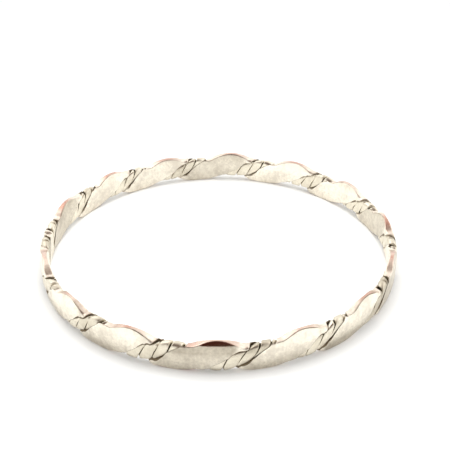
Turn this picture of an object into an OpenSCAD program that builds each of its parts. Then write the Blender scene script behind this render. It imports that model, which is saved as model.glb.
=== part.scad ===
// Bangle: a broad flat strip and a rope of two wires, twisted together left-handed,
// rolled flat between the faces, bent to a ring and closed with one soldered seam.
// It lies on its side, the wrist hole upright. Millimetres.

/* [Ring] */
// radius of the middle of the band
mid_r = 33; // [28:0.1:38]
// thickness of the rolled band, inside to outside
band_t = 1.72; // [1.2:0.02:2.6]
// height of a full leaf of the strip at the widest wrap
strip_h = 6.5; // [4.5:0.1:9]

/* [Twist] */
// ring angle that one full turn of the strip and rope takes
wrap_deg = 24.96; // [20:0.01:30]
// ring angle where the rope first faces straight out
first_wrap_deg = 201.46; // [180:0.01:220]
// wire crossings that show in one wrap
crossings = 4.8; // [3:0.1:8]
// half width of the rope, in degrees round the section
rope_half_deg = 60; // [44:1:62]
// how much the rope narrows on the faces and widens on the edges, degrees
rope_swing_deg = 7; // [0:1:10]
// how far the rope lags behind the turn on both faces, degrees
rope_lean_deg = 9; // [0:1:12]

/* [Clearances] */
// gap between the rope and the strip beside it, as a share of the rope's half width
rope_gap = 0.07; // [0.02:0.01:0.12]
// gap between the two wires, as a share of the rope's half width
wire_gap = 0.04; // [0.02:0.01:0.1]

/* [Seam] */
// ring angle of the soldered seam
seam_deg = 177.4; // [170:0.1:185]
// thickness of the solder along the ring
seam_t = 0.4; // [0.2:0.05:1]
// how far the solder stands proud of the strands
seam_proud = 0.08; // [0:0.01:0.3]
// room between the wire ends and the solder
seam_gap = 0.04; // [0.02:0.01:0.1]

/* [Mesh] */
// angle between the lines along each wire; a divisor of 180
wire_step = 45; // [36, 45, 60]
// facets across each face of the strip
face_lines = 6; // [4:2:10]

/* [Hidden] */
half_h = strip_h / 2;
half_t = band_t / 2;

// One row a wrap, from the one before the seam to the one after it. The bangle is hand
// twisted, so no two wraps are quite alike. Heights are shares of half the strip's height.
// along the ring (deg), spread, roll (crossings), rope top, leaf top, rope base, bevelled leaf
WRAPS = [
    [ 0.0, 1.00,  0.0, 0.71, 0.98, 0.71, 0],
    [ 0.4, 1.10,  0.0, 0.71, 1.08, 0.74, 0],
    [-0.3, 0.90,  0.0, 0.80, 1.02, 0.77, 0],
    [-0.9, 1.20, -0.6, 0.68, 0.90, 0.77, 1],
    [ 0.4, 1.00,  0.0, 0.68, 1.02, 0.86, 0],
    [-0.3, 0.98,  0.4, 0.80, 1.08, 0.80, 0],
    [-0.2, 0.95,  0.0, 0.74, 1.02, 0.74, 0],
    [-0.2, 1.00,  0.0, 0.71, 1.02, 0.71, 0],
    [-0.9, 0.96,  0.0, 0.71, 1.02, 0.68, 0],
    [-0.5, 1.06,  0.0, 0.71, 0.98, 0.68, 0],
    [ 0.2, 1.08,  0.0, 0.65, 0.98, 0.65, 0],
    [ 1.1, 1.00,  0.0, 0.65, 0.86, 0.65, 0],
    [ 0.4, 0.88,  0.0, 0.68, 0.95, 0.68, 0],
    [-0.8, 1.00,  0.0, 0.74, 0.98, 0.71, 0],
    [ 0.0, 1.00,  0.0, 0.71, 0.98, 0.71, 0],
    [ 0.0, 1.00,  0.0, 0.71, 0.98, 0.71, 0],
];
SHIFT = 0;
SPREAD = 1;
ROLL = 2;
ROPE_TOP = 3;
LEAF_TOP = 4;
ROPE_BASE = 5;
BEVEL = 6;
// where in its wrap, as a share of the wrap, each row is measured: the rope over the upper
// edge, the rope under the lower edge, the leaf's top and the rope's width
rope_top_at = 0.25;
rope_base_at = -0.25;
leaf_top_at = 0.75;
spread_at = 0.10;

// rolled corners of the strip and of the rope
strip_corner = 0.18;
rope_corner = 0.75;
// how far from the rope, in degrees, its rounder corners give way to the strip's
corner_from = 55;
corner_over = 35;
// share of the thickness that a leaf loses at its far edge
taper = 0.60;
// how far the pole of each section lies from its middle, away from the rope
pole_share = 0.40;
// half width of the rope where it crosses an edge, and the leaf's reach beyond it, degrees
edge_half_deg = 65;
leaf_half_deg = 180 - edge_half_deg;
// share of its height that a leaf keeps where the rope meets it, above and below
top_end = 0.50;
base_end = 0.66;
// share of half the strip's height that the lower leaves reach
base_leaf = 0.97;
// droop of the rope towards its sides: arriving at the upper edge, leaving it, and below
droop_in = 0.20;
droop_out = 0.06;
droop_base = 0.10;
// reach, in mm, over which the rope's height and the leaf's run into each other
blend = 0.5;
// depth of the trough's floor and of the wires over it, as shares from pole to skin
floor_rho = 0.10;
wire_rho = 0.12;
// squareness of the rolled rope
rope_square = 2.4;
// crossings already passed at the first wrap, and the rounded edges of each half
first_split = 0.1;
split_side = 84;
split_rim = 0.93;
line_side = 74;
// how near to the rope's axis an edge counts as lying on it
on_axis = 0.02;
// halvings that find where a line starts
find_tries = 24;
// height and slope of the flat that is filed on one leaf's upper edge
bevel_low = 0.72;
bevel_slope = 0.75;
bevel_from = 0.65;
// how fast that flat runs out along the leaf
bevel_end = 12;

// the strip's rim: its depth on the faces and on the edges, and its width in degrees
rim_rho = 0.95;
rim_edge_rho = 0.73;
rim_deg = 5;
rim_edge_deg = 20;
// how near to an edge, as the sine of the angle, the rim begins to deepen, and over what
rim_tuck_from = 0.85;
rim_tuck_over = 0.10;

half_seam = (seam_t / 2) * 180 / (PI * mid_r);
seam_cut = 0.5;
wire_end = (seam_t / 2 + seam_gap) * 180 / (PI * mid_r);
seam_sunk = half_seam / 4;
wrap_from = (seam_deg - first_wrap_deg) / wrap_deg;
wrap_to = (seam_deg + 360 - first_wrap_deg) / wrap_deg;
strip_from = wrap_from + seam_sunk / wrap_deg;
strip_to = wrap_to - seam_sunk / wrap_deg;
wire_from = wrap_from + wire_end / wrap_deg;
wire_to = wrap_to - wire_end / wrap_deg;

function clamp(x, lo, hi) = max(lo, min(hi, x));
function ease(x) = let (c = clamp(x, 0, 1)) c * c * (3 - 2 * c);
function folded(a) = a - 360 * floor((a + 180) / 360);
function smooth_max(a, b) = max(a, b) + pow(max(blend - abs(a - b), 0), 2) / (4 * blend);

// a column of the table at any place along the rope, eased from wrap to wrap
function wrap_value(column, x) =
    let (c = clamp(x, -1, len(WRAPS) - 2),
         i = min(floor(c), len(WRAPS) - 3),
         f = ease(c - i))
    WRAPS[i + 1][column] * (1 - f) + WRAPS[i + 2][column] * f;

// half height of the band above or below its middle: a low hump where the rope crosses
// that edge, and a high arch for the leaf between two crossings
function half_height(p, up) =
    let (ahead = folded((up ? 90 : 270) - 360 * p),
         d = abs(ahead),
         droop = up ? (ahead > 0 ? droop_in : droop_out) : droop_base,
         rope_h = up ? wrap_value(ROPE_TOP, p - rope_top_at)
             : wrap_value(ROPE_BASE, p - rope_base_at),
         leaf_h = up ? wrap_value(LEAF_TOP, p - leaf_top_at) : base_leaf,
         low = up ? top_end : base_end,
         rope = half_h * rope_h * (1 - droop * pow(d / edge_half_deg, 2)),
         leaf = half_h * leaf_h * (1 - (1 - low) * pow((180 - d) / leaf_half_deg, 2)))
    smooth_max(rope, leaf);

// the section's outline: a rounded rectangle, walked at an even pace by the angle a
// (0 is straight out, 90 is up), rounder where the rope is
function outline(a, p) =
    let (d = abs(folded(a - 360 * p)),
         corner = rope_corner + (strip_corner - rope_corner) * ease((d - corner_from) / corner_over),
         side = half_h - corner,
         turn = PI / 2 * corner,
         top = half_t - corner,
         f = folded(a),
         m = abs(f) < 90 ? abs(f) : 180 - abs(f),
         s = (side + turn + top) * m / 90,
         bend = clamp((s - side) / corner, 0, PI / 2) * 180 / PI,
         u = s < side + turn ? top + corner * cos(bend) : half_t - corner - (s - side - turn),
         v = s < side ? s : side + corner * sin(bend))
    [(abs(f) < 90 ? 1 : -1) * u, sign(f) * v * half_height(p, f > 0) / half_h];

// a point of the section: rho runs from the pole to the outline along the ray at angle a
function place(p, a, rho, leafy) =
    let (phi = 360 * p,
         b = outline(a, p),
         o = [-pole_share * half_t * cos(phi), -pole_share * half_h * sin(phi)],
         q = o + rho * (b - o),
         h = q[1] / half_h,
         u = q[0] * (1 - taper * h * h * (1 - sin(phi) * h) / 2),
         filed = half_h * bevel_low + bevel_end * pow(1 - wrap_value(BEVEL, p - leaf_top_at), 2)
             + bevel_slope * (bevel_from - u))
    [u, leafy ? min(q[1], filed) : q[1]];

function ring_deg(p) = first_wrap_deg + wrap_deg * p + wrap_value(SHIFT, p - rope_top_at);
function in_space(p, q) =
    [(mid_r + q[0]) * cos(ring_deg(p)), (mid_r + q[0]) * sin(ring_deg(p)), q[1]];

// angle round the section at a place s across the rope, -1 to 1 from side to side
function across(p, s) =
    360 * p - rope_lean_deg * cos(360 * p) + s * wrap_value(SPREAD, p - spread_at)
    * (rope_half_deg - rope_swing_deg * cos(720 * p + 90 * s));

// Strip. Its sections hold fixed lines along the band, so that the leaves' edges stay crisp.
corner_deg = 90 * (half_h - strip_corner + PI / 4 * strip_corner)
    / (half_h + half_t - 2 * strip_corner + PI / 2 * strip_corner);
turn_lines = 2 * (face_lines + 1);
// the lines nearest to the rope that give way to the strip's rim
line_first = 4;
line_last = turn_lines - line_first;

function line_deg(n) =
    let (turn = floor(n / turn_lines), k = n - turn_lines * turn, far = k > face_lines)
    360 * turn + (far ? 180 : 0) - corner_deg
    + 2 * corner_deg * (far ? k - face_lines - 1 : k) / face_lines;

// depth that the strip's rim tucks under the rope's sides, deeper at the edges
function rim_tuck(a) = ease((abs(sin(a)) - rim_tuck_from) / rim_tuck_over);
function rim_wide(a) = rim_deg + (rim_edge_deg - rim_deg) * rim_tuck(a);
function rim_depth(a) = rim_rho + (rim_edge_rho - rim_rho) * rim_tuck(a);

function strip_section(p, n) =
    let (from = across(p, 1 + rope_gap),
         to = across(p, -1 - rope_gap) + 360,
         first = line_deg(n + line_first),
         last = line_deg(n + line_last),
         step_a = min(rim_wide(from), (first - from) / 2),
         step_b = min(rim_wide(to), (to - last) / 2),
         spots = concat(
             [[from, rim_depth(from)], [from + step_a, 1]],
             [for (k = [line_first:line_last]) [line_deg(n + k), 1]],
             [[to - step_b, 1], [to, rim_depth(to)],
              [to, floor_rho], [from, floor_rho]]))
    [for (k = [0:len(spots) - 1])
        in_space(p, place(p, spots[k][0], spots[k][1], k < len(spots) - 2))];

function line_before(p) =
    let (near = floor(p) * turn_lines)
    near + len([for (k = [1:turn_lines + face_lines]) if (line_deg(near + k) <= 360 * p) 1]);

line_from = line_before(strip_from);
line_to = line_before(strip_to);

strip_rings = concat(
    [strip_section(strip_from, line_from)],
    [for (n = [line_from + 1:line_to]) strip_section(line_deg(n) / 360, n)],
    [strip_section(strip_to, line_to + 1)]);

// Wires. Each is half of the round rope, split along its axis, and the split turns.
// A wire's lines run along the rope, and one of them always follows the edge of the band
// that the rope is crossing, so the wires stay round where they go over it.
function split_deg(p, half) = 180 * (crossings * p + first_split + wrap_value(ROLL, p) + half);

// place across the rope of the edge that it crosses: 1 as it arrives and -1 as it leaves
function edge_place(p, edge, s) =
    clamp((edge - across(p, 0)) / (across(p, s) - across(p, 0)) * s, -1, 1);
function edge_deg(p) =
    let (edge = round(2 * p - 0.5),
         at = 90 + 180 * edge,
         guess = clamp((at - across(p, 0)) / edge_half_deg, -1, 1),
         near = abs(guess) < on_axis ? guess : edge_place(p, at, guess),
         s = abs(near) < on_axis ? near : edge_place(p, at, near),
         t = pow(1 - pow(abs(s), rope_square), 1 / rope_square))
    atan2(s, t) - 180 * edge;

function wire_line(p, half) = (split_deg(p, half) - edge_deg(p)) / wire_step;
// the place where a wire's line count reaches n, found by halving
function where_line(n, half, lo, hi, tries) =
    let (mid = (lo + hi) / 2)
    tries == 0 ? mid
        : wire_line(mid, half) < n ? where_line(n, half, mid, hi, tries - 1)
        : where_line(n, half, lo, mid, tries - 1);

function wire_section(p, half, n) =
    let (psi = split_deg(p, half),
         ridge = edge_deg(p) + wire_step * n - psi,
         spots = concat(
             [[-split_side, split_rim]],
             [for (k = [-1:1]) [clamp(ridge + wire_step * k, -line_side, line_side), 1]],
             [[split_side, split_rim], [0, wire_gap]]))
    [for (q = spots)
        let (t0 = q[1] * cos(psi + q[0]),
             s0 = q[1] * sin(psi + q[0]),
             square = pow(pow(abs(s0 / q[1]), rope_square) + pow(abs(t0 / q[1]), rope_square),
                 -1 / rope_square),
             rho = (1 + wire_rho) / 2 + (1 - wire_rho) / 2 * t0 * square)
        in_space(p, place(p, across(p, s0 * square), rho, false))];

function wire_rows(half) =
    let (first = floor(wire_line(wire_from, half)),
         last = ceil(wire_line(wire_to, half)) - 1)
    concat(
        [wire_section(wire_from, half, first)],
        [for (n = [first + 1:last])
            wire_section(where_line(n, half, wire_from, wire_to, find_tries), half, n)],
        [wire_section(wire_to, half, last + 1)]);

wire_a_rings = wire_rows(0);
wire_b_rings = wire_rows(1);

// the band stands on its lowest point, with the middle of its outline on the Z axis
all_points = [for (rows = [strip_rings, wire_a_rings, wire_b_rings]) for (r = rows) for (q = r) q];
low = [for (axis = [0:2]) min([for (q = all_points) q[axis]])];
high = [for (axis = [0:2]) max([for (q = all_points) q[axis]])];
to_base = [-(low[0] + high[0]) / 2, -(low[1] + high[1]) / 2, -low[2]];

// A strand from its rings of points. The hidden facets, from side inner on, lean the other
// way, so that strands that touch there fall away from each other.
module strand(rings, inner) {
    sides = len(rings[0]);
    last = len(rings) - 1;
    function at(j, i) = j * sides + i % sides;
    skin = [for (j = [0:last - 1]) for (i = [0:sides - 1]) for (half = [0, 1])
        i >= inner
            ? (half == 0 ? [at(j, i), at(j, i + 1), at(j + 1, i + 1)]
                : [at(j, i), at(j + 1, i + 1), at(j + 1, i)])
            : (half == 0 ? [at(j, i), at(j, i + 1), at(j + 1, i)]
                : [at(j, i + 1), at(j + 1, i + 1), at(j + 1, i)])];
    caps = [for (i = [0:sides - 3]) for (end = [0, 1])
        end == 0 ? [at(0, sides - 1), at(0, i + 1), at(0, i)]
            : [at(last, sides - 1), at(last, i), at(last, i + 1)]];
    translate(to_base)
        polyhedron(points = [for (r = rings) for (q = r) q], faces = concat(skin, caps));
}

// the solder plate that closes the ring
module seam() {
    high_v = half_height(wrap_to, true) + seam_proud;
    low_v = -half_height(wrap_from, false) - seam_proud;
    wide = half_t + seam_proud;
    translate(to_base)
        rotate([0, 0, seam_deg + wrap_value(SHIFT, wrap_from)])
            translate([mid_r, seam_t / 2, 0])
                rotate([90, 0, 0])
                    linear_extrude(seam_t)
                        polygon([
                            [wide, low_v + seam_cut], [wide, high_v - seam_cut],
                            [wide - seam_cut, high_v], [seam_cut - wide, high_v],
                            [-wide, high_v - seam_cut], [-wide, low_v + seam_cut],
                            [seam_cut - wide, low_v], [wide - seam_cut, low_v]]);
}

module ribbon_strand() {
    color([0.80, 0.77, 0.70])
        union() {
            strand(strip_rings, len(strip_rings[0]) - 3);
            seam();
        }
}

module wire_strand_a() {
    color([0.84, 0.82, 0.74])
        strand(wire_a_rings, len(wire_a_rings[0]) - 2);
}

module wire_strand_b() {
    color([0.82, 0.80, 0.74])
        strand(wire_b_rings, len(wire_b_rings[0]) - 2);
}

ribbon_strand();
wire_strand_a();
wire_strand_b();
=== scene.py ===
"""Looks for the twisted bangle: a broad silver strip and a rope of two wires, twisted
together, rolled flat, bent to a ring and soldered. Millimetres in the shape formulas,
metres in the meshes."""

import math

import bpy
import numpy as np
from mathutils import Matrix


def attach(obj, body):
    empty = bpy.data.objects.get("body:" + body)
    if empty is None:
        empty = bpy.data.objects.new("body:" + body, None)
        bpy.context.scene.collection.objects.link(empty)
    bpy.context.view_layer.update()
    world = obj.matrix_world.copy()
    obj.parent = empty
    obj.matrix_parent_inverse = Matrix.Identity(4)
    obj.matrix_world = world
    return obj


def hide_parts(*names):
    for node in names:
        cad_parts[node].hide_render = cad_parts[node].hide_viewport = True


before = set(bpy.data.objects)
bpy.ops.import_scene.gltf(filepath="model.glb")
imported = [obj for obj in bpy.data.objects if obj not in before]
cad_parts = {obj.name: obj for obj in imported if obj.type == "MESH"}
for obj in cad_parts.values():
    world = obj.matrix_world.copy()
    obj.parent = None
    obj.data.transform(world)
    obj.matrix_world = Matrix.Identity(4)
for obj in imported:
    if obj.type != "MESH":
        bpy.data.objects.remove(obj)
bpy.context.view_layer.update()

MM = 0.001

# Ring and band, as in the part's source. A place p along the rope counts its wraps: the
# rope crosses the outer face at whole p, the top edge a quarter later, the inner face at
# a half and the lower edge at three quarters.
MID_R = 33.0
HALF_T = 0.86
HALF_H = 3.25
BASE_Z = 3.0746
WRAP_DEG = 24.96
FIRST_WRAP_DEG = 201.46
SEAM_DEG = 177.4
CROSSINGS = 4.8
FIRST_SPLIT = 0.1
ROPE_HALF_DEG = 62.0
ROPE_SWING_DEG = 7.0
ROPE_LEAN_DEG = 9.0

# one row a wrap: along the ring (deg), spread, roll, rope top, leaf top, rope base, bevel;
# the first row is that of wrap -1
WRAPS = np.array([
    [0.0, 1.00, 0.0, 0.71, 0.98, 0.71, 0],
    [0.4, 1.10, 0.0, 0.71, 1.08, 0.74, 0],
    [-0.3, 0.90, 0.0, 0.80, 1.02, 0.77, 0],
    [-0.9, 1.20, -0.6, 0.68, 0.90, 0.77, 1],
    [0.4, 1.00, 0.0, 0.68, 1.02, 0.86, 0],
    [-0.3, 0.98, 0.4, 0.80, 1.08, 0.80, 0],
    [-0.2, 0.95, 0.0, 0.74, 1.02, 0.74, 0],
    [-0.2, 1.00, 0.0, 0.71, 1.02, 0.71, 0],
    [-0.9, 0.96, 0.0, 0.71, 1.02, 0.68, 0],
    [-0.5, 1.06, 0.0, 0.71, 0.98, 0.68, 0],
    [0.2, 1.08, 0.0, 0.65, 0.98, 0.65, 0],
    [1.1, 1.00, 0.0, 0.65, 0.86, 0.65, 0],
    [0.4, 0.88, 0.0, 0.68, 0.95, 0.68, 0],
    [-0.8, 1.00, 0.0, 0.74, 0.98, 0.71, 0],
    [0.0, 1.00, 0.0, 0.71, 0.98, 0.71, 0],
    [0.0, 1.00, 0.0, 0.71, 0.98, 0.71, 0]])
SHIFT, SPREAD, ROLL, ROPE_TOP, LEAF_TOP, ROPE_BASE, BEVEL = range(7)

# where in a wrap its row holds: the shift and the rope's top where the rope is at the top
# edge, the rope's base at the lower edge, the leaf's top and bevel where the leaf is at
# the top edge, and the spread just after the crossing
ROPE_TOP_AT = 0.25
ROPE_BASE_AT = -0.25
LEAF_TOP_AT = 0.75
SPREAD_AT = 0.1

# the section's outline: corners, thinner edges, humps and arches, and the filed flat
STRIP_CORNER = 0.18
ROPE_CORNER = 0.75
CORNER_FROM_DEG = 55.0
CORNER_OVER_DEG = 35.0
TAPER = 0.60
POLE_SHARE = 0.40
EDGE_HALF_DEG = 65.0
TOP_END = 0.50
BASE_END = 0.66
BASE_LEAF = 0.97
DROOP_IN, DROOP_OUT, DROOP_BASE = 0.20, 0.06, 0.10
BLEND = 0.5
BEVEL_LOW = 2.35
BEVEL_SLOPE = 0.75
BEVEL_FROM = 0.65
BEVEL_CLEAR = 12.0

# the rope: it fills the section from the depth WIRE_RHO to the skin, is squared by
# rolling and is split between its two wires, which are rounder near the band's edges,
# where |sin| of the section angle is large
ROPE_SQUARE = 2.4
WIRE_RHO = 0.12
MID_RHO = (1 + WIRE_RHO) / 2
HALF_RHO = (1 - WIRE_RHO) / 2
SPLIT_OFF = 0.45
SPLIT_GAP = 0.03
SPLIT_ROUND = 3.6
SPLIT_ROUND_EDGE = 2.0
ROUND_FROM, ROUND_OVER = 0.70, 0.25
ROUGH_OUT, ROUGH_ALONG = 0.5, 0.6
LEAST_COS = 1e-3
TINY = 1e-9

# the strip's rim beside the rope: its gap, where and how far it may open, the table that
# is worked out for its place, and how it closes in at the leaves' tips
ROPE_GAP = 0.03
RIM_OPEN = 0.25
RIM_AT = 0.95
FEEL_DEG = 1.0
LEAST_ALONG = 0.1
RIM_LEVEL_LOW, RIM_LEVEL_HIGH = 0.35, 0.72
LEAST_REACH = 0.86
RIM_FROM, RIM_TO = -1.2, 13.7
RIM_ROWS = 6000
RIM_TURNS = 240
RIM_SMOOTH = 17
TIP_CLOSE = 0.20
TIP_FROM, TIP_OVER = 0.72, 0.22
TIP_SIDE, TIP_SLOPE = 0.4, 1.2

# the rim's rounding, in degrees of section angle and in depth, with what is added where
# it dips at the band's edges; the strip's floor lies FLOOR_SPARE under the rope
RIM_DEG, TUCK_DEG = 5, 15
RIM_DEEP, TUCK_DEEP = 0.05, 0.14
TUCK_FROM, TUCK_OVER = 0.94, 0.05
LEAST_STEP_DEG = 0.15
FLOOR_SPARE = 0.04
LEAST_FLOOR = 0.04

# steps across a face and across an edge of the strip, lines that the rope takes up on each
# side of its axis, steps of the floor and of the rim's rounding, rings and sides of a wire
FACE_STEPS = 26
EDGE_STEPS = 6
NEAR_LINES = 8
FLOOR_STEPS = 14
RIM_STEPS = 5
WIRE_RINGS = 2100
WIRE_SIDES = 36

# solder seam: half its length along the ring, how far short of its middle the strip and
# the wires stop as a share of that, the room between the strip's last two sections, and
# the seam's depth, rise and mesh
SEAM_HALF = 0.20
STRIP_SHORT, WIRE_SHORT = 0.6, 0.7
END_CLEAR_DEG = 0.5
SEAM_RHO, SEAM_RISE, SEAM_POWER = 0.86, 0.17, 0.6
SEAM_RINGS = 13
SEAM_SIDES = 120

# values of the point attributes at the two poles of a piece, which the seam hides
POLE_VALUE = 1.0


def ease(x):
    """Smooth step: 3x^2 - 2x^3 on x clipped to 0..1."""
    x = np.clip(x, 0, 1)
    return x * x * (3 - 2 * x)


def folded(a):
    """Angle a brought to -180..180."""
    return np.mod(a + 180.0, 360.0) - 180.0


def wrap_value(column, p):
    """A column of WRAPS at any place p along the rope, eased from row to row."""
    x = np.clip(p, -1, len(WRAPS) - 2)
    i = np.clip(np.floor(x).astype(int), -1, len(WRAPS) - 3)
    f = ease(x - i)
    return WRAPS[i + 1, column] * (1 - f) + WRAPS[i + 2, column] * f


def half_height(p, up):
    """Half height of the band: the larger, run together over BLEND, of a low hump
    rope = h (1 - droop (d / 65)^2) and an arch leaf = h (1 - (1 - end) ((180 - d) / 115)^2),
    with d the angle from the rope's axis to the edge."""
    ahead = folded(np.where(up, 90.0, 270.0) - 360.0 * p)
    d = np.abs(ahead)
    droop = np.where(up, np.where(ahead > 0, DROOP_IN, DROOP_OUT), DROOP_BASE)
    rope_h = np.where(up, wrap_value(ROPE_TOP, p - ROPE_TOP_AT),
                      wrap_value(ROPE_BASE, p - ROPE_BASE_AT))
    leaf_h = np.where(up, wrap_value(LEAF_TOP, p - LEAF_TOP_AT), BASE_LEAF)
    end = np.where(up, TOP_END, BASE_END)
    rope = HALF_H * rope_h * (1 - droop * (d / EDGE_HALF_DEG) ** 2)
    leaf = HALF_H * leaf_h * (1 - (1 - end) * ((180 - d) / (180 - EDGE_HALF_DEG)) ** 2)
    return np.maximum(rope, leaf) + np.maximum(BLEND - np.abs(rope - leaf), 0) ** 2 / (4 * BLEND)


def outline(angle, p):
    """Outline of the section: a rounded rectangle walked at an even pace by the angle
    (0 out, 90 up), with its height scaled by half_height; rounder where the rope is."""
    d = np.abs(folded(angle - 360.0 * p))
    corner = ROPE_CORNER + (STRIP_CORNER - ROPE_CORNER) * ease((d - CORNER_FROM_DEG) / CORNER_OVER_DEG)
    side, turn, top = HALF_H - corner, np.pi / 2 * corner, HALF_T - corner
    f = folded(angle)
    m = np.where(np.abs(f) < 90, np.abs(f), 180 - np.abs(f))
    s = (side + turn + top) * m / 90
    bend = np.clip((s - side) / corner, 0, np.pi / 2)
    u = np.where(s < side + turn, top + corner * np.cos(bend), HALF_T - corner - (s - side - turn))
    v = np.where(s < side, s, side + corner * np.sin(bend))
    return (np.where(np.abs(f) < 90, u, -u),
            np.sign(f) * v * half_height(p, f > 0) / HALF_H)


def pole(p):
    """The point that depth is measured from: POLE_SHARE of the way to the side away from
    the rope, u = -share T cos(phi), v = -share H sin(phi), phi = 360 p."""
    phi = np.radians(360.0 * p)
    return -POLE_SHARE * HALF_T * np.cos(phi), -POLE_SHARE * HALF_H * np.sin(phi)


def place(p, angle, rho, filed=False):
    """Section point (u out, v up): pole + rho (outline - pole), thinned by
    u (1 - TAPER h^2 (1 - sin(phi) h) / 2) with h = v / HALF_H, and cut by the filed flat
    v = low + slope (from - u) where a leaf has one; elsewhere the flat is lifted clear."""
    bu, bv = outline(angle, p)
    ou, ov = pole(p)
    u, v = ou + rho * (bu - ou), ov + rho * (bv - ov)
    h = v / HALF_H
    u = u * (1 - TAPER * h * h * (1 - np.sin(np.radians(360.0 * p)) * h) / 2)
    if filed:
        bevel = BEVEL_LOW + BEVEL_CLEAR * (1 - wrap_value(BEVEL, p - LEAF_TOP_AT)) ** 2
        v = np.minimum(v, bevel + BEVEL_SLOPE * (BEVEL_FROM - u))
    return u, v


def bent(th, u, v):
    """Section points at the ring's angle th: radius MID_R + u, level BASE_Z + v, in metres."""
    return MM * np.stack([(MID_R + u) * np.cos(th), (MID_R + u) * np.sin(th), v + BASE_Z], -1)


def in_space(p, u, v):
    """Bends the straight band to the ring: angle = first + pitch p + shift."""
    shift = wrap_value(SHIFT, p - ROPE_TOP_AT)
    return bent(np.radians(FIRST_WRAP_DEG + WRAP_DEG * p + shift), u, v)


def across(p, s):
    """Angle round the section at the place s across the rope, -1 to 1:
    phi - lean cos(phi) + s spread (half - swing cos(2 phi + 90 s)), phi = 360 p."""
    half = ROPE_HALF_DEG - ROPE_SWING_DEG * np.cos(np.radians(720.0 * p + 90.0 * s))
    lean = ROPE_LEAN_DEG * np.cos(np.radians(360.0 * p))
    return 360.0 * p - lean + s * half * wrap_value(SPREAD, p - SPREAD_AT)


def seam_ends(short):
    """First and last place p of a piece that stops short of the seam's middle by the
    share short of SEAM_HALF, on either side of it."""
    spare = SEAM_HALF * short / MID_R * 180 / np.pi / WRAP_DEG
    return ((SEAM_DEG - FIRST_WRAP_DEG) / WRAP_DEG + spare,
            (SEAM_DEG + 360 - FIRST_WRAP_DEG) / WRAP_DEG - spare)


def build(name, rings, poles, values):
    """Closed skin over rings[j, i] of points with a fan from a pole at each end. The
    diagonals run from (j, i + 1) to (j + 1, i), along the lines of the band. values are
    point attributes, one number a ring point."""
    n, m = rings.shape[:2]
    j, i = np.meshgrid(np.arange(n - 1), np.arange(m), indexing="ij")
    a, b = j * m + i, j * m + (i + 1) % m
    c, d = (j + 1) * m + i, (j + 1) * m + (i + 1) % m
    side = np.arange(m)
    after = (side + 1) % m
    last = (n - 1) * m
    faces = np.concatenate([
        np.stack([a, b, c], -1).reshape(-1, 3), np.stack([b, d, c], -1).reshape(-1, 3),
        np.stack([np.full(m, n * m), after, side], -1),
        np.stack([np.full(m, n * m + 1), last + side, last + after], -1)])
    points = np.concatenate([rings.reshape(-1, 3), poles])
    corner = points[faces]
    volume = np.einsum("ij,ij->i", corner[:, 0], np.cross(corner[:, 1], corner[:, 2])).sum()
    if volume < 0:
        faces = faces[:, ::-1]
    mesh = bpy.data.meshes.new(name)
    mesh.from_pydata(points.tolist(), [], faces.tolist())
    mesh.shade_smooth()
    for key, grid in values.items():
        layer = mesh.attributes.new(key, "FLOAT", "POINT")
        numbers = np.concatenate([grid.ravel(), [POLE_VALUE, POLE_VALUE]])
        layer.data.foreach_set("value", numbers.astype(np.float32))
    piece = bpy.data.objects.new(name, mesh)
    bpy.context.collection.objects.link(piece)
    return piece


# Lines that run along the band: even steps over its two faces and two edges, and one in
# the middle of each corner, by section angle
ARC = 90.0 / (HALF_H + HALF_T + (np.pi / 2 - 2) * STRIP_CORNER)
ARC_FROM = ARC * (HALF_H - STRIP_CORNER)
ARC_TO = ARC * (HALF_H - STRIP_CORNER + np.pi / 2 * STRIP_CORNER)
ARC_MID = (ARC_FROM + ARC_TO) / 2
HALF_LINES = np.concatenate([
    np.linspace(-ARC_FROM, ARC_FROM, FACE_STEPS + 1), [ARC_MID],
    np.linspace(ARC_TO, 180 - ARC_TO, EDGE_STEPS + 1), [180 - ARC_MID]])
LINES = len(HALF_LINES)
# numbers of lines that reach past both ends of the ring
FIRST_LINE, LAST_LINE = -4 * LINES, 32 * LINES


def line_deg(n):
    """Angle of line n: lines run along the band at fixed places round its section."""
    return 180.0 * np.floor_divide(n, LINES) + HALF_LINES[np.mod(n, LINES)]


def rim_tuck(a):
    """How far the strip's rim dips beside the rope: 0 on the faces and 1 on the edges,
    ease((|sin a| - 0.94) / 0.05)."""
    return ease((np.abs(np.sin(np.radians(a))) - TUCK_FROM) / TUCK_OVER)


def split_turn(p):
    """Turn of the split between the wires, in radians: pi (4.8 p + 0.1 + roll)."""
    return np.pi * (CROSSINGS * p + FIRST_SPLIT + wrap_value(ROLL, p))


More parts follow.
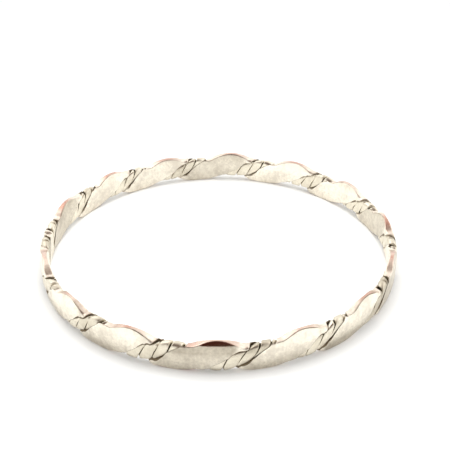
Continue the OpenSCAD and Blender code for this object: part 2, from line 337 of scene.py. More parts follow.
def rope_point(p, tau, half):
    """A point (s, t) of one wire in the round rope: a disc of radius 1 split at its middle
    and rounded, r = (d1^-k + d2^-k)^(-1/k) about a centre SPLIT_OFF off the split (k is
    less at the band's edges, where rolling has left the wires rounder), turned
    by the rope's twist and squared by the superellipse |s|^q + |t|^q = 1. Also returns
    how far out in the rope the point lies."""
    psi = split_turn(p) + np.pi * half
    c = np.cos(tau)
    d1 = -SPLIT_OFF * c + np.sqrt(1 - (SPLIT_OFF * np.sin(tau)) ** 2)
    d2 = (SPLIT_OFF - SPLIT_GAP) / np.maximum(-c, LEAST_COS)
    # a rough place across the rope tells how near the band's edge the point is
    rough_s = np.sin(psi) * (SPLIT_OFF + ROUGH_OUT * c) + np.cos(psi) * ROUGH_ALONG * np.sin(tau)
    at_edge = ease((np.abs(np.sin(np.radians(across(p, rough_s)))) - ROUND_FROM) / ROUND_OVER)
    k = SPLIT_ROUND + (SPLIT_ROUND_EDGE - SPLIT_ROUND) * at_edge
    r = (d1 ** -k + np.where(c < 0, d2 ** -k, 0)) ** (-1 / k)
    x, y = SPLIT_OFF + r * c, r * np.sin(tau)
    t, s = np.cos(psi) * x - np.sin(psi) * y, np.sin(psi) * x + np.cos(psi) * y
    out = np.sqrt(s * s + t * t) + TINY
    square = (np.abs(s / out) ** ROPE_SQUARE + np.abs(t / out) ** ROPE_SQUARE) ** (-1 / ROPE_SQUARE)
    return s * square, t * square, out


def hull_reach(t):
    """Half width of the squared rope at the level t: (1 - t^q)^(1/q)."""
    return (1 - t ** ROPE_SQUARE) ** (1 / ROPE_SQUARE)


def rim_level(p, side):
    """Level in the rope that the strip's rim is pressed down to: the skin falls away
    from it by no more than RIM_OPEN along the face, t = 1 - RIM_OPEN / (0.44 |ray . face|)."""
    angle = across(p, RIM_AT * side)
    u0, v0 = outline(angle - FEEL_DEG, p)
    u1, v1 = outline(angle + FEEL_DEG, p)
    pole_u, pole_v = pole(p)
    ray_u = (u0 + u1) / 2 - pole_u
    ray_v = (v0 + v1) / 2 - pole_v
    along = np.abs(ray_u * (u1 - u0) + ray_v * (v1 - v0)) / np.hypot(u1 - u0, v1 - v0)
    level = 1 - RIM_OPEN / (HALF_RHO * np.maximum(along, LEAST_ALONG))
    return np.clip(level, RIM_LEVEL_LOW, RIM_LEVEL_HIGH)


def rim_table(side):
    """The rim's place beside the rope, at even steps along it: it is pressed against the
    wires, so it follows the widest that either wire reaches above rim_level, smoothed by
    a bell of RIM_SMOOTH steps."""
    p = np.linspace(RIM_FROM, RIM_TO, RIM_ROWS)[:, None]
    tau = np.linspace(0, 2 * np.pi, RIM_TURNS, endpoint=False)[None, :]
    level = rim_level(p, side)
    reach = LEAST_REACH * hull_reach(level)
    for half in (0, 1):
        s, t, _ = rope_point(p, tau, half)
        reach = np.maximum(reach, np.where(t > level, side * s, 0).max(1, keepdims=True))
    bell = np.hanning(RIM_SMOOTH)
    return p[:, 0], np.convolve(reach[:, 0], bell / bell.sum(), "same")


RIM_TABLES = {side: rim_table(side) for side in (1, -1)}


def beside_edge(a, side):
    """1 where the boundary at the section angle a has just come round an edge (side 1)
    or is about to turn over one (side -1), else 0:
    ease((|sin a| - 0.72) / 0.22) ease(0.4 - 1.2 side sin(2 a))."""
    a = np.radians(a)
    return (ease((np.abs(np.sin(a)) - TIP_FROM) / TIP_OVER)
            * ease(TIP_SIDE - TIP_SLOPE * side * np.sin(2 * a)))


def margin(p, side):
    """Where the rim stands across the rope: pressed in further at the leaves' tips."""
    reach = np.interp(p, *RIM_TABLES[side])
    tip = beside_edge(across(p, side * reach), -side)
    return side * (reach + ROPE_GAP - TIP_CLOSE * tip)


# Paint of the leaves as (leaf, share): painted shade and painted highlight in the colour. A
# leaf has the number of the crossing before it: 0 to 5 are leaves of the outer face, 6 to 12
# leaves of the inner face. The painted shade of an outer leaf holds below its middle, and the
# painted highlight of any leaf above it.
OUTER_PAST, INNER_PAST = 0.5, 1.0
LEAF_HALF, LEAF_FADE = 0.5, 0.1
# painted shade: how much darker each leaf's colour is painted, on an outer leaf below its middle
OUTER_PAINTED_SHADE = ((0, 0.30), (1, 0.75), (3, 0.72), (4, 1.3))
INNER_PAINTED_SHADE = ((6, 0.60), (9, 0.60), (10, 0.15), (12, 0.72))
# painted highlight: how much brighter each leaf's colour is painted above its middle
OUTER_BRIGHT = ((0, 1.0), (1, 1.0), (3, 1.0), (4, 1.0))
INNER_BRIGHT = ((7, 0.8), (8, 1.0), (10, 0.3), (11, 0.6))
# share of the painted dark line below the top edge on each leaf, a dark reflection painted into the
# colour
OUTER_PAINTED_LINE = ((0, 0.8), (1, 1.0), (2, 1.0), (3, 1.0), (4, 1.0))
INNER_PAINTED_LINE = tuple((leaf, 0.7) for leaf in range(6, 13))
FILED_LEAF = ((2, 1.0),)
RIGHT_LEAF = ((5, 1.0),)

# heights are shares of HALF_H; FROM is where an effect starts, OVER how far it takes to be
# full
LOW_FROM, LOW_OVER = 0.15, 0.9
# strength of the painted highlight, and where above the middle it starts and grows
BRIGHT, BRIGHT_FROM, BRIGHT_OVER = 0.42, 0.05, 0.5
# painted shade over the leaf at the right
RIGHT_PAINTED_SHADE = 0.7
# painted shade on the filed leaf: darker towards its top, less low down
FILED_PAINTED_SHADE, FILED_HIGH, FILED_HIGH_OVER, FILED_LOW = 0.70, 0.75, 0.7, 0.10
FACE_DEG, FACE_FADE_DEG = 68, 6

# patina beside the rope and on the floor under it, and a thin painted dark line below the top edge
# that stands in for a dark reflection
DARK_DEG, DARK_PAST_DEG, DARK_FADE_DEG = 3.2, 2.2, 2.2
FLOOR_CLEAN_FROM, FLOOR_CLEAN_OVER = 0.80, 0.15
# where the painted dark line lies below the top edge, and how wide it is
CORNER_AT_DEG, CORNER_WIDE_DEG = 18.4, 5.0
INSIDE_PALER = 0.44

# rosy stain of the edges: its places along the rope, and how strong it is
STAIN_AT = (-0.34, 0.68, 1.65, 2.72, 3.78, 4.79, 5.80, 6.68, 7.82, 8.72, 9.76, 10.80, 11.76,
            12.82)
STAIN_LONG = 0.16
# on the filed leaf more stain, and on its flat more again: rosy stain and, in part, a painted dark
# reflection
STAIN_LEAST, STAIN_MORE, FILED_STAIN_AND_REFLECTION, FLAT_STAIN_AND_REFLECTION = 0.25, 0.95, 0.6, 0.8
EDGE_DEG, EDGE_FADE_DEG = 14, 8
FLAT_OVER = 0.1

# wires: tarnish low in the rope and beside the rim, and grey places (p, length, share)
GROOVE_OUT, GROOVE_OUT_OVER = 0.70, 0.12
GROOVE_RIM, GROOVE_RIM_OVER = 0.04, 0.05
GROOVE_LEVEL, GROOVE_LEVEL_OVER = 0.1, 0.2
WIRE_GREY = ((5.0, 0.45, 0.7), (10.5, 0.3, 0.35))
GREY_ABOVE = (3.0, 0.3, 1.1)
GREY_ABOVE_FROM, GREY_ABOVE_OVER = 0.1, 0.7
# grey towards the wires' lower edge: tarnish together with painted shade under their lower ends
GREY_LOW, GREY_LOW_FROM, GREY_LOW_OVER = 0.9, 0.50, 0.3
GREY_INSIDE, GREY_INSIDE_FROM, GREY_INSIDE_OVER = 0.5, 0.45, 0.3
SOLDER_DARK = 0.5


def on_leaf(p, shares, past):
    """Sum of share x (1 on that leaf, falling to 0 at the crossings beside it), with the
    leaf's middle at its number + past: ease((0.5 - |p - number - past|) / 0.1)."""
    return sum(share * ease((LEAF_HALF - np.abs(p - leaf - past)) / LEAF_FADE)
               for leaf, share in shares)


def on_outer(p, shares):
    """Shares of the outer leaves, which lie between whole p."""
    return on_leaf(p, shares, OUTER_PAST)


def on_inner(p, shares):
    """Shares of the inner leaves, whose middles are at whole p."""
    return on_leaf(p, shares, INNER_PAST)


def around(p, at, long):
    """A bell along the rope: exp(-((p - at) / long)^2)."""
    return np.exp(-((p - at) / long) ** 2)


def rope_inside(p):
    """1 where the rope is on the inner face, 0 on the outer one: (1 - cos 2 pi p) / 2."""
    return (1 - np.cos(2 * np.pi * p)) / 2


def rope_paler(p):
    """Tarnish is weaker where the rope is on the inner face: 1 - 0.44 inside."""
    return 1 - INSIDE_PALER * rope_inside(p)


def stained(p):
    """Stain along the rope: the sum of a bell at each place of STAIN_AT, at most 1."""
    return np.minimum(1, sum(around(p, at, STAIN_LONG) for at in STAIN_AT))


def strip_sections():
    """Numbers n and places p of the strip's sections. A section stands where line n meets
    the rope's axis, p = angle / 360, so every line keeps to its place and the leaves'
    corners stay crisp. One more section closes each end."""
    p_from, p_to = seam_ends(STRIP_SHORT)
    every = np.arange(FIRST_LINE, LAST_LINE)
    degrees = line_deg(every)
    low, high = 360 * p_from + END_CLEAR_DEG, 360 * p_to - END_CLEAR_DEG
    inside = every[(degrees > low) & (degrees < high)]
    n = np.concatenate([[inside[0] - 1], inside, [inside[-1] + 1]])[:, None]
    p = np.concatenate([[p_from], line_deg(inside) / 360.0, [p_to]])[:, None]
    return n, p


def strip_skin(n, p, start, end):
    """Skin of the strip, from the rim at the angle start round the faces to the rim at
    the angle end: the angles, the depth
    rho = 1 - (0.05 + 0.14 tuck) (1 - sqrt(1 - (1 - x)^2)) with x = near / (5 + 15 tuck),
    near (degrees from the nearer rim), whether that is the first rim, and its tip."""
    tip_a, tip_b = beside_edge(start, -1), beside_edge(end, 1)
    step_a = RIM_DEG + TUCK_DEG * rim_tuck(start) * (1 - tip_a)
    step_b = RIM_DEG + TUCK_DEG * rim_tuck(end) * (1 - tip_b)
    rim = 1 - np.cos(np.linspace(0, np.pi / 2, RIM_STEPS + 1))[None, :]
    k = np.arange(NEAR_LINES, 2 * LINES - NEAR_LINES + 1)[None, :]
    lines = np.clip(line_deg(n + k), start + step_a + LEAST_STEP_DEG * (k - k[0, 0] + 1),
                    end - step_b - LEAST_STEP_DEG * (k[0, -1] - k + 1))
    angle = np.concatenate([start + step_a * rim, lines, (end - step_b * rim)[:, ::-1]], 1)
    near = np.minimum(angle - start, end - angle)
    first = angle - start < end - angle
    tip = np.where(first, tip_a, tip_b)
    tuck = rim_tuck(angle) * (1 - tip)
    x = np.clip(near / (RIM_DEG + TUCK_DEG * tuck), 0, 1)
    rho = 1 - (RIM_DEEP + TUCK_DEEP * tuck) * (1 - np.sqrt(np.clip(1 - (1 - x) ** 2, 0, 1)))
    return angle, rho, near, first, tip


def strip_floor(p):
    """Floor of the strip under the rope, from one rim back to the other: the places s,
    their share of the way to the rim, and the depth
    rho = 0.56 - 0.48 (1 - share^2.4)^(1 / 2.4)."""
    share = np.cos(np.linspace(0, np.pi, FLOOR_STEPS + 1))[None, :]
    s = np.where(share > 0, margin(p, -1) * share, -margin(p, 1) * share)
    share = np.abs(share)
    rho = MID_RHO - (HALF_RHO + FLOOR_SPARE) * hull_reach(share)
    return s, share, np.clip(rho, LEAST_FLOOR, 1) + 0 * p


def skin_tarnish_and_painted_line(p, angle, high, rim_dark):
    """Patina of the skin: the dark beside the rope, or, on leaves that show it, a thin painted
    dark line CORNER_AT_DEG from the top edge, a dark reflection; weaker where the rope is inside."""
    off_edge = np.abs(np.abs(folded(angle)) - 90)
    # a painted dark line below the top edge: a dark reflection painted into the colour
    line = np.clip(1 - np.abs(off_edge - CORNER_AT_DEG) / CORNER_WIDE_DEG, 0, 1) * (high > 0)
    outside = np.abs(folded(angle)) < 90
    line = line * np.where(outside, on_outer(p, OUTER_PAINTED_LINE), on_inner(p, INNER_PAINTED_LINE))
    return np.maximum(rim_dark, line) * rope_paler(p)


def skin_painted_light(p, angle, high):
    """Painted shade of the leaves, below 0 where a painted highlight brightens the metal:
    shade share x face, less 0.42 x highlight share above the middle, and painted shade on
    the filed leaf, darker towards its top, and on the leaf at the right."""
    outer = 1 - ease((np.abs(folded(angle)) - FACE_DEG) / FACE_FADE_DEG)
    inner = 1 - ease((180 - np.abs(folded(angle)) - FACE_DEG) / FACE_FADE_DEG)
    below = ease((LOW_FROM - high) / LOW_OVER)
    bright = outer * on_outer(p, OUTER_BRIGHT) + inner * on_inner(p, INNER_BRIGHT)
    # painted shade, then the painted highlight above the middle taken off it
    dull_and_painted_light = outer * on_outer(p, OUTER_PAINTED_SHADE) * below + inner * on_inner(p, INNER_PAINTED_SHADE)
    dull_and_painted_light = dull_and_painted_light - BRIGHT * ease((high - BRIGHT_FROM) / BRIGHT_OVER) * bright
    # painted shade on the leaf at the right
    dull_and_painted_light = dull_and_painted_light + RIGHT_PAINTED_SHADE * outer * on_outer(p, RIGHT_LEAF)
    # painted shade on the filed leaf, darker towards its top, standing in for its dark reflection
    tone = FILED_PAINTED_SHADE + FILED_HIGH * ease(high / FILED_HIGH_OVER) - FILED_LOW * below
    return dull_and_painted_light + outer * on_outer(p, FILED_LEAF) * tone


def skin_stain_and_flat_reflection(p, angle, flat):
    """Rosy stain of the skin, on the edges and the filed flat:
    max(edge, flat) (0.25 + 0.95 stained + 0.6 on the filed leaf), with 0.8 added on the
    flat of the filed leaf; on the filed leaf the stain is partly a painted dark reflection."""
    off_edge = np.abs(np.abs(folded(angle)) - 90)
    rosy = STAIN_LEAST + STAIN_MORE * stained(p) + FILED_STAIN_AND_REFLECTION * on_outer(p, FILED_LEAF)
    stain = np.maximum(1 - ease((off_edge - EDGE_DEG) / EDGE_FADE_DEG), flat) * np.clip(rosy, 0, 1)
    return stain + FLAT_STAIN_AND_REFLECTION * flat * on_outer(p, FILED_LEAF)


def strip_piece():
    """Strip: a section runs over the rim at the rope's side, round the faces, over the
    other rim and back under the rope, as strip_skin and strip_floor give it."""
    n, p = strip_sections()
    start = across(p, margin(p, 1))
    end = across(p, margin(p, -1)) + 360
    angle, rho, near, first, tip = strip_skin(n, p, start, end)
    s, share, floor_rho = strip_floor(p)
    skin_u, skin_v = place(p, angle, rho, filed=True)
    floor_u, floor_v = place(p, across(p, s), floor_rho)
    u = np.concatenate([skin_u, floor_u], 1)
    v = np.concatenate([skin_v, floor_v], 1)

    high = skin_v / HALF_H
    flat = ease((place(p, angle, rho)[1] - skin_v) / FLAT_OVER)
    past = np.where(first, beside_edge(start, 1), beside_edge(end, -1))
    dark = DARK_DEG * (1 - tip) + DARK_PAST_DEG * past
    rim_dark = 1 - ease((near - dark) / DARK_FADE_DEG)
    floor_tip = np.where(s < 0, beside_edge(end, 1), beside_edge(start, -1))
    clean = ease((share - FLOOR_CLEAN_FROM) / FLOOR_CLEAN_OVER) * floor_tip
    plain = np.zeros_like(floor_u)
    values = {
        "groove_and_painted_line": np.concatenate([skin_tarnish_and_painted_line(p, angle, high, rim_dark), 1 - clean], 1),
        "edge": np.concatenate([skin_stain_and_flat_reflection(p, angle, flat), plain], 1),
        # painted shade and painted highlight of the leaves
        "dull_and_painted_light": np.concatenate([skin_painted_light(p, angle, high), plain], 1)}
    ends = p[[0, -1], 0]
    poles = in_space(ends, *pole(ends))
    return build("silver_strip", in_space(p + 0 * u, u, v), poles, values)


def wire_piece(name, half):
    """Wire: rings of the points (s, t) of rope_point, laid across the band at across(p, s)
    and in depth at rho = 0.56 + 0.44 t."""
    p = np.linspace(*seam_ends(WIRE_SHORT), WIRE_RINGS)[:, None]
    tau = np.linspace(0, 2 * np.pi, WIRE_SIDES, endpoint=False)[None, :]
    s, t, out = rope_point(p, tau, half)
    u, v = place(p, across(p, s), MID_RHO + HALF_RHO * t)
    rings = in_space(p + 0 * u, u, v)

    beside = np.where(s > 0, margin(p, 1), -margin(p, -1)) - np.abs(s)
    hidden = np.maximum(1 - ease((beside - GROOVE_RIM) / GROOVE_RIM_OVER),
                        1 - ease((t - GROOVE_LEVEL) / GROOVE_LEVEL_OVER))
    inmost = 1 - ease((out - GROOVE_OUT) / GROOVE_OUT_OVER)
    groove_and_painted_line = np.maximum(inmost, hidden) * rope_paler(p)
    high = v / HALF_H
    at, long, share = GREY_ABOVE
    grey = sum(part * around(p, middle, wide) for middle, wide, part in WIRE_GREY)
    grey = grey + share * around(p, at, long) * ease((high + GREY_ABOVE_FROM) / GREY_ABOVE_OVER)
    # grey towards the lower edge: tarnish and painted shade
    grey = grey + GREY_LOW * ease((-high - GREY_LOW_FROM) / GREY_LOW_OVER)
    grey = grey + GREY_INSIDE * rope_inside(p) * ease((high - GREY_INSIDE_FROM) / GREY_INSIDE_OVER)
    return build(name, rings, rings[[0, -1]].mean(1), {"groove_and_painted_line": groove_and_painted_line, "edge": 0 * u, "dull_and_painted_light": grey})


def seam_piece():
    """Solder: the section's own outline, swept across the joint as a low rounded ridge,
    rho = 0.86 + 0.17 sin(w)^0.6 and x = SEAM_HALF cos(w) along the ring, w from 0 to pi."""
    p = (SEAM_DEG - FIRST_WRAP_DEG) / WRAP_DEG
    w = np.linspace(0, np.pi, SEAM_RINGS)[:, None]
    angle = np.linspace(0, 360, SEAM_SIDES, endpoint=False)[None, :]
    rho = SEAM_RHO + SEAM_RISE * np.sin(w) ** SEAM_POWER
    u, v = place(p + 0 * w + 0 * angle, angle + 0 * w, rho + 0 * angle)
    along = SEAM_HALF * np.cos(w) / MID_R
    rings = bent(np.radians(SEAM_DEG + wrap_value(SHIFT, p - ROPE_TOP_AT)) + along, u, v)
    groove_and_painted_line = (1 - ease(np.sin(w) / SOLDER_DARK)) + 0 * u
    return build("solder_seam", rings, rings[[0, -1]].mean(1), {"groove_and_painted_line": groove_and_painted_line, "edge": 0 * u})


strip = strip_piece()
wire_a = wire_piece("silver_wire_a", 0)
wire_b = wire_piece("silver_wire_b", 1)
seam = seam_piece()


# Finishes: scales are in cells a metre; LOW and HIGH are where a pattern starts and where
# it is full
PATCH_SCALE, PATCH_DETAIL = 900.0, 4.0
BROKEN = 0.5
TARNISH_LOW, TARNISH_HIGH = 0.25, 0.8
SCRATCH_SCALE, SCRATCH_LONG = 2600.0, 0.06
SCRATCH_TURNS = ((0.9, 0.2, 0.5), (-0.8, 0.7, -0.9))
SCRATCH_HEIGHT, SCRATCH_DULL = 0.08, 0.06
DENT_SCALE, DENT_ROUGH = 600.0, 0.6
CLOUD_SCALE, SPECKLE_SCALE, SPECKLE_ROUGH = 180.0, 1100.0, 0.7
CLOUDY_LOW, CLOUDY_HIGH = 0.38, 0.64
SPECK_SCALE, SPECK_LOW, SPECK_HIGH, SPECK_MOST = 2600.0, 0.34, 0.56, 0.65
STAIN_SCALE, STAIN_LOW, STAIN_HIGH = 160.0, 0.38, 0.62
STAIN_EVEN, STAIN_PATCHY = 0.55, 0.45
GREYED = (0.61, 0.59, 0.56)
DULL_LOW, DULL_HIGH = 0.3, 0.7
EDGE_SMOOTHER, TARNISH_ROUGHER = 0.10, 0.25
RELIEF = 0.00004


def socket(group, name, kind, way, value=None):
    """A named input or output of a group, with its first value."""
    made = group.interface.new_socket(name=name, in_out=way, socket_type=kind)
    if value is not None:
        made.default_value = value


def add(tree, kind, **values):
    """A node with its settings: attributes by name, sockets by name or number in 'at'."""
    node = tree.nodes.new(kind)
    for key, value in values.items():
        if key == "at":
            for name, x in value.items():
                if isinstance(x, bpy.types.NodeSocket):
                    tree.links.new(x, node.inputs[name])
                else:
                    node.inputs[name].default_value = x
        else:
            setattr(node, key, value)
    return node


def math_node(tree, operation, a, b=0.0, clamp=False):
    """Output of a Math node on a and b, each a socket or a number."""
    node = add(tree, "ShaderNodeMath", operation=operation, use_clamp=clamp, at={0: a, 1: b})
    return node.outputs[0]


def between(tree, value, low, high, to_low=0.0, to_high=1.0, smooth=True):
    """The value carried from low..high to to_low..to_high, held at the ends."""
    node = add(tree, "ShaderNodeMapRange", interpolation_type="SMOOTHSTEP" if smooth else "LINEAR",
               at={"Value": value, "From Min": low, "From Max": high,
                   "To Min": to_low, "To Max": to_high})
    return node.outputs[0]


def mix_colour(tree, factor, a, b):
    """Colour a where the factor is 0, b where it is 1."""
    node = add(tree, "ShaderNodeMix", data_type="RGBA", at={0: factor, 6: a, 7: b})
    return node.outputs[2]


def noise(tree, vector, scale, detail=3.0, rough=0.55):
    """Noise round 0.5 at the given scale."""
    node = add(tree, "ShaderNodeTexNoise",
               at={"Vector": vector, "Scale": scale, "Detail": detail, "Roughness": rough})
    return node.outputs[0]


def tarnish_and_painted_line_group():
    """Mask of dark patina and of the painted dark line below the top edge: the attribute's value with
    its border broken up by noise.
    """
    group = bpy.data.node_groups.new("groove tarnish", "ShaderNodeTree")
    socket(group, "Vector", "NodeSocketVector", "INPUT")
    socket(group, "Groove", "NodeSocketFloat", "INPUT", 0.0)
    socket(group, "Patch Scale", "NodeSocketFloat", "INPUT", PATCH_SCALE)
    socket(group, "Broken", "NodeSocketFloat", "INPUT", BROKEN)
    socket(group, "Mask", "NodeSocketFloat", "OUTPUT")
    start = group.nodes.new("NodeGroupInput")
    end = group.nodes.new("NodeGroupOutput")
    patches = noise(group, start.outputs["Vector"], start.outputs["Patch Scale"],
                    detail=PATCH_DETAIL)
    off_middle = math_node(group, "SUBTRACT", patches, 0.5)
    spread = math_node(group, "MULTIPLY", off_middle, start.outputs["Broken"])
    total = math_node(group, "ADD", start.outputs["Groove"], spread)
    group.links.new(between(group, total, TARNISH_LOW, TARNISH_HIGH), end.inputs["Mask"])
    return group


def wear_group():
    """Satin wear: fine scratches in two directions, soft dents and a cloudy dullness."""
    group = bpy.data.node_groups.new("satin wear", "ShaderNodeTree")
    socket(group, "Vector", "NodeSocketVector", "INPUT")
    socket(group, "Scratch Scale", "NodeSocketFloat", "INPUT", SCRATCH_SCALE)
    socket(group, "Dent Scale", "NodeSocketFloat", "INPUT", DENT_SCALE)
    socket(group, "Height", "NodeSocketFloat", "OUTPUT")
    socket(group, "Dullness", "NodeSocketFloat", "OUTPUT")
    start = group.nodes.new("NodeGroupInput")
    end = group.nodes.new("NodeGroupOutput")
    where = start.outputs["Vector"]
    lines = []
    for turn in SCRATCH_TURNS:
        turned = add(group, "ShaderNodeMapping", vector_type="POINT",
                     at={"Vector": where, "Rotation": turn, "Scale": (1.0, 1.0, SCRATCH_LONG)})
        lines.append(noise(group, turned.outputs[0], start.outputs["Scratch Scale"],
                           detail=1.0, rough=0.5))
    scratches = math_node(group, "ADD", lines[0], lines[1])
    dents = noise(group, where, start.outputs["Dent Scale"], rough=DENT_ROUGH)
    cloud = noise(group, where, CLOUD_SCALE, detail=2.0, rough=0.5)
    speckle = noise(group, where, SPECKLE_SCALE, detail=4.0, rough=SPECKLE_ROUGH)
    height = math_node(group, "ADD", math_node(group, "MULTIPLY", scratches, SCRATCH_HEIGHT), dents)
    half_cloud = math_node(group, "MULTIPLY", cloud, 0.5)
    half_speckle = math_node(group, "MULTIPLY", speckle, 0.5)
    both = math_node(group, "ADD", half_cloud, half_speckle)
    off_middle = math_node(group, "SUBTRACT", scratches, 1.0)
    dull_and_painted_light = math_node(group, "ADD", both, math_node(group, "MULTIPLY", off_middle, SCRATCH_DULL))
    group.links.new(height, end.inputs["Height"])
    group.links.new(dull_and_painted_light, end.inputs["Dullness"])
    return group


TARNISH_AND_PAINTED_LINE = tarnish_and_painted_line_group()
WEAR = wear_group()


def silver(name, bright, dull_and_painted_light, stain, dark, rough_low, rough_high, bump):
    """Satin silver: bright metal with cloudy dullness, greyed by painted shade and cleared by
    painted highlight where the leaves' paint says so (on the wires the grey is partly real),
    with rosy stain on the edge facets, on the filed flat partly a painted dark reflection,
    dark patina in the hollows and a painted dark line below the top edge; scratches and dents
    in roughness and bump."""
    material = bpy.data.materials.new(name)
    material.use_nodes = True
    tree = material.node_tree
    tree.nodes.clear()
    out = tree.nodes.new("ShaderNodeOutputMaterial")
    shader = tree.nodes.new("ShaderNodeBsdfPrincipled")
    tree.links.new(shader.outputs[0], out.inputs["Surface"])
    where = tree.nodes.new("ShaderNodeTexCoord").outputs["Object"]
    groove_and_painted_line, edge, grey = (add(tree, "ShaderNodeAttribute", attribute_name=key).outputs["Fac"]
                          for key in ("groove_and_painted_line", "edge", "dull_and_painted_light"))
    masks = add(tree, "ShaderNodeGroup", node_tree=TARNISH_AND_PAINTED_LINE,
                at={"Vector": where, "Groove": groove_and_painted_line, "Patch Scale": PATCH_SCALE, "Broken": BROKEN})
    tarnish_and_painted_line = masks.outputs["Mask"]
    wear = add(tree, "ShaderNodeGroup", node_tree=WEAR,
               at={"Vector": where, "Scratch Scale": SCRATCH_SCALE, "Dent Scale": DENT_SCALE})

    grain = noise(tree, where, SPECK_SCALE, detail=2.0)
    specks = between(tree, grain, SPECK_LOW, SPECK_HIGH, SPECK_MOST, 0.0)
    clouds = between(tree, wear.outputs["Dullness"], CLOUDY_LOW, CLOUDY_HIGH)
    cloudy = math_node(tree, "MAXIMUM", clouds, specks)
    # painted light of the leaves: below 0 a painted highlight that clears the cloudiness, above 0
    # painted shade that greys the metal (on the wires partly real grey)
    painted_highlight = math_node(tree, "MINIMUM", grey, 0.0)
    clean = mix_colour(tree, math_node(tree, "ADD", cloudy, painted_highlight, clamp=True), bright, dull_and_painted_light)
    greyed = add(tree, "ShaderNodeVectorMath", operation="MULTIPLY", at={0: clean, 1: GREYED})
    metal = mix_colour(tree, grey, clean, greyed.outputs[0])
    patches = between(tree, noise(tree, where, STAIN_SCALE), STAIN_LOW, STAIN_HIGH)
    patchy = math_node(tree, "ADD", STAIN_EVEN, math_node(tree, "MULTIPLY", patches, STAIN_PATCHY))
    rosy = mix_colour(tree, math_node(tree, "MULTIPLY", edge, patchy), metal, stain)
    # dark patina in the hollows, and the painted dark line below the top edge, laid over the colour
    tree.links.new(mix_colour(tree, tarnish_and_painted_line, rosy, dark), shader.inputs["Base Color"])

    smooth = between(tree, wear.outputs["Dullness"], DULL_LOW, DULL_HIGH,
                     rough_low, rough_high, smooth=False)
    worn = math_node(tree, "SUBTRACT", smooth, math_node(tree, "MULTIPLY", edge, EDGE_SMOOTHER))
    in_dark = math_node(tree, "MULTIPLY", tarnish_and_painted_line, TARNISH_ROUGHER)
    rough = math_node(tree, "ADD", worn, in_dark, clamp=True)
    tree.links.new(rough, shader.inputs["Roughness"])
    shader.inputs["Metallic"].default_value = 1.0
    relief = add(tree, "ShaderNodeBump",
                 at={"Height": wear.outputs["Height"], "Strength": bump, "Distance": RELIEF})
    tree.links.new(relief.outputs[0], shader.inputs["Normal"])
    return material


# the strip's stain colour is a dark red-brown: stain on the edges, and on the filed flat partly a
# painted dark reflection
STRIP_SILVER = silver(
    "satin silver strip", bright=(0.98, 0.92, 0.79, 1), dull_and_painted_light=(0.70, 0.64, 0.54, 1),
    stain=(0.49, 0.28, 0.215, 1), dark=(0.20, 0.155, 0.10, 1),
    rough_low=0.30, rough_high=0.46, bump=0.5)
WIRE_SILVER = silver(
    "satin silver wire", bright=(0.84, 0.78, 0.65, 1), dull_and_painted_light=(0.68, 0.62, 0.50, 1),
    stain=(0.80, 0.52, 0.44, 1), dark=(0.20, 0.16, 0.105, 1),
    rough_low=0.32, rough_high=0.46, bump=0.5)
SOLDER = silver(
    "solder silver", bright=(0.88, 0.81, 0.68, 1), dull_and_painted_light=(0.78, 0.70, 0.56, 1),
    stain=(0.80, 0.62, 0.50, 1), dark=(0.10, 0.08, 0.05, 1),
    rough_low=0.25, rough_high=0.40, bump=0.7)

for piece, material, slot in ((strip, STRIP_SILVER, "silver_strip"),
                              (seam, SOLDER, "silver_strip"),
                              (wire_a, WIRE_SILVER, "silver_wire"),
                              (wire_b, WIRE_SILVER, "silver_wire")):
    piece.data.materials.append(material)
    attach(piece, "root")
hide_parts("ribbon_strand")
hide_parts("ribbon_strand")
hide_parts("wire_strand_a")
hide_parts("wire_strand_b")


# Studio, in metres: a white floor just below the strip's lowest point, and a brown card
FLOOR_SIZE = 6.0
FLOOR_CLEAR = 0.00001
FLOOR_WHITE = (0.92, 0.92, 0.91, 1)
CARD_BROWN = (0.10, 0.05, 0.035, 1)
CARD_AT_Y, CARD_LIFT = -0.72, 0.0005
CARD_SHARE = (0.55, 1.0, 1.0)
PAPER_ROUGH = 0.9


def stage_sheet(name, size, place_at, finish, colour):
    """A square sheet of paper of one rough colour, lying flat."""
    bpy.ops.mesh.primitive_plane_add(size=size, location=place_at)
    sheet = bpy.context.object
    sheet.name = name
    paper = bpy.data.materials.new(finish)
    paper.use_nodes = True
    shader = paper.node_tree.nodes["Principled BSDF"]
    shader.inputs["Base Color"].default_value = colour
    shader.inputs["Roughness"].default_value = PAPER_ROUGH
    sheet.data.materials.append(paper)
    return sheet


strip_points = np.empty(3 * len(strip.data.vertices), np.float32)
strip.data.vertices.foreach_get("co", strip_points)
lowest = min(float(strip_points[2::3].min()), 0.0)
floor = stage_sheet("floor", FLOOR_SIZE, (0, 0, lowest - FLOOR_CLEAR), "white paper", FLOOR_WHITE)

# a brown card on the floor in front, past the camera, which only reflections see
card = stage_sheet("front_card", 1.0, (0.0, CARD_AT_Y, lowest + CARD_LIFT), "brown card", CARD_BROWN)
card.scale = CARD_SHARE
card.visible_camera = False
card.visible_diffuse = False
card.visible_shadow = False

# name, place, size, power in watts, and whether reflections see it
LAMPS = (("key", (-0.45, 0.40, 0.75), 0.60, 1.5, True),
         ("fill", (0.55, 0.25, 0.65), 0.60, 0.85, True),
         ("top lamp", (0.0, 0.01, 0.15), 0.10, 0.13, False),
         ("front fill", (0.10, -0.60, 0.65), 0.50, 1.25, False))


def soft_lamp(name, place_at, size, power, mirrored):
    """A square area lamp that is turned to the middle of the floor."""
    lamp = bpy.data.lights.new(name, "AREA")
    lamp.size = size
    lamp.energy = power
    holder = bpy.data.objects.new(name, lamp)
    bpy.context.collection.objects.link(holder)
    holder.location = place_at
    x, y, z = place_at
    holder.rotation_euler = (math.atan2(math.hypot(x, y), z), 0, math.atan2(-y, -x) - math.pi / 2)
    holder.visible_glossy = mirrored


for lamp_row in LAMPS:
    soft_lamp(*lamp_row)

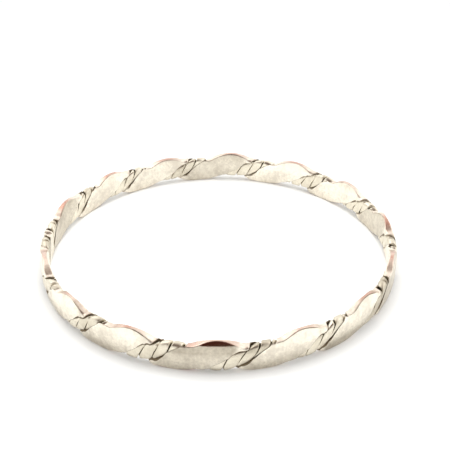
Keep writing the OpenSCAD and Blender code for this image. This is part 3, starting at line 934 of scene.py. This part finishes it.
# Tent that reflections see: pale walls, darker overhead, bright behind the ring and dark
# brown in front. Everything else is lit by an even white.
TENT_WALL = (1.32, 1.32, 1.31, 1)
TENT_TOP = (0.55, 0.46, 0.42, 1)
TENT_BEHIND = (1.5, 1.5, 1.5, 1)
TENT_FRONT = (0.10, 0.040, 0.026, 1)
EVEN_WHITE = (0.71, 0.71, 0.71, 1)
TOP_LOW, TOP_HIGH = 0.70, 0.98
BEHIND_WAY = (0.0, 0.85, 0.52)
BEHIND_LOW, BEHIND_HIGH = 0.80, 0.97
FRONT_X_LOW, FRONT_X_HIGH = 0.40, 0.62
FRONT_Y_LOW, FRONT_Y_HIGH = -0.12, 0.08
FRONT_Z_LOW, FRONT_Z_HIGH = 0.15, 0.45

world = bpy.data.worlds.new("tent")
bpy.context.scene.world = world
world.use_nodes = True
sky = world.node_tree
toward = sky.nodes.new("ShaderNodeTexCoord").outputs["Generated"]
way = add(sky, "ShaderNodeSeparateXYZ", at={"Vector": toward})
overhead = between(sky, way.outputs["Z"], TOP_LOW, TOP_HIGH)
wall = mix_colour(sky, overhead, TENT_WALL, TENT_TOP)
behind = add(sky, "ShaderNodeVectorMath", operation="DOT_PRODUCT", at={0: toward, 1: BEHIND_WAY})
bright_part = between(sky, behind.outputs["Value"], BEHIND_LOW, BEHIND_HIGH)
wall = mix_colour(sky, bright_part, wall, TENT_BEHIND)
sideways = math_node(sky, "ABSOLUTE", way.outputs["X"])
front = math_node(sky, "MULTIPLY", between(sky, sideways, FRONT_X_LOW, FRONT_X_HIGH, 1.0, 0.0),
                  between(sky, way.outputs["Y"], FRONT_Y_LOW, FRONT_Y_HIGH, 1.0, 0.0))
front = math_node(sky, "MULTIPLY", front, between(sky, way.outputs["Z"], FRONT_Z_LOW, FRONT_Z_HIGH))
wall = mix_colour(sky, front, wall, TENT_FRONT)
in_mirror = sky.nodes.new("ShaderNodeLightPath").outputs["Is Glossy Ray"]
sky.links.new(mix_colour(sky, in_mirror, EVEN_WHITE, wall), sky.nodes["Background"].inputs["Color"])
sky.nodes["Background"].inputs["Strength"].default_value = 1.0

# Camera at the photograph's viewing angle, fitted to the ring's outline: the sensor in
# millimetres, the focal length and the width in pixels of the photograph, distances in
# metres
SENSOR = 36.0
FOCAL_PX = 917.0
WIDTH_PX = 450.0
ELEVATION = math.radians(31.4)
DISTANCE = 0.184
AIM = (0.00122, 0.00813, 0.0027746)
NEAREST, FARTHEST = 0.005, 20.0

camera_data = bpy.data.cameras.new("photo view")
camera_data.sensor_width = SENSOR
camera_data.lens = SENSOR * FOCAL_PX / WIDTH_PX
camera_data.clip_start = NEAREST
camera_data.clip_end = FARTHEST
camera = bpy.data.objects.new("photo view", camera_data)
bpy.context.collection.objects.link(camera)
camera.location = (AIM[0], AIM[1] - DISTANCE * math.cos(ELEVATION),
                   AIM[2] + DISTANCE * math.sin(ELEVATION))
camera.rotation_euler = (math.pi / 2 - ELEVATION, 0, 0)
bpy.context.scene.camera = camera
bpy.context.scene.view_settings.view_transform = "Standard"
